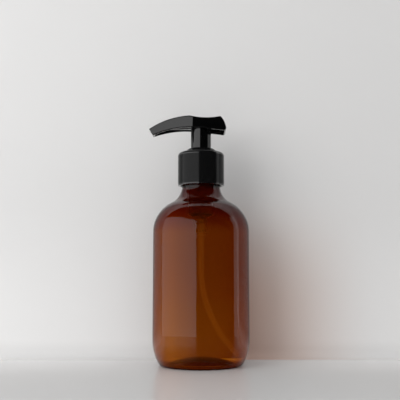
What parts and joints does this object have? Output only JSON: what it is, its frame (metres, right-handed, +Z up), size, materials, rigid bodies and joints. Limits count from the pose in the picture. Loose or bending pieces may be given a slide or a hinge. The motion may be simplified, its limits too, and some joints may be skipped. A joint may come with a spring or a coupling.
{
  "type": "pump oil bottle",
  "caption": "Amber cylindrical bottle with a rounded shoulder and a black screw-on pump: a press-down, swivelling head with a curved spout, and a spring-return piston and dip tube inside.",
  "frame": {"origin": "centre of the base on the axis of the bottle, on the surface that the bottle stands on", "axes": "+Z up along the axis of the bottle; the spout points to -X; the dip tube bends towards +X"},
  "size_m": [0.0672, 0.064, 0.1655],
  "materials": {
    "amber_plastic": "transparent amber PET, glossy",
    "satin_black": "satin black polypropylene",
    "gloss_black": "gloss black polypropylene",
    "natural_plastic": "uncoloured polyolefin",
    "white_foam": "white foamed polyethylene",
    "spring_steel": "drawn stainless wire",
    "ball_steel": "polished stainless steel",
    "clear_tube": "translucent polyethylene tube"
  },
  "bodies": {
    "bottle": {"bottle": "amber_plastic"},
    "pump_body": {"pump_housing": "natural_plastic", "chaplet": "satin_black", "gasket": "white_foam", "dip_tube": "clear_tube", "spring_seat": "natural_plastic", "spring": "spring_steel"},
    "closure": {"closure": "satin_black"},
    "rod": {"valve_rod": "natural_plastic"},
    "piston": {"piston": "natural_plastic"},
    "head": {"actuator_head": "gloss_black", "stem": "natural_plastic"},
    "ball": {"inlet_ball": "ball_steel"}
  },
  "joints": [
    {"name": "pump_rise", "type": "slide", "parent": "bottle", "child": "pump_body", "axis": [0, 0, 1], "range_m": [0, 0.0064]},
    {"name": "closure_turn", "type": "hinge", "parent": "pump_body", "child": "closure", "pos_m": [0, 0, 0.13], "axis": [0, 0, 1], "range_deg": [0, 540]},
    {"name": "head_press", "type": "slide", "parent": "pump_body", "child": "rod", "axis": [0, 0, -1], "range_m": [0, 0.0095], "stiffness_N_per_m": 1000, "springref_m": -0.007, "deforming": ["spring"]},
    {"name": "head_swivel", "type": "hinge", "parent": "rod", "child": "head", "pos_m": [0, 0, 0.15], "axis": [0, 0, 1], "continuous": true},
    {"name": "piston_slip", "type": "slide", "parent": "rod", "child": "piston", "axis": [0, 0, 1], "range_m": [0, 0.0012]},
    {"name": "ball_lift", "type": "slide", "parent": "pump_body", "child": "ball", "axis": [0, 0, 1], "range_m": [0, 0.0013]}
  ],
  "couplings": [
    {"joint": "pump_rise", "follows": "closure_turn", "m_per_rad": 0.00067376}
  ]
}
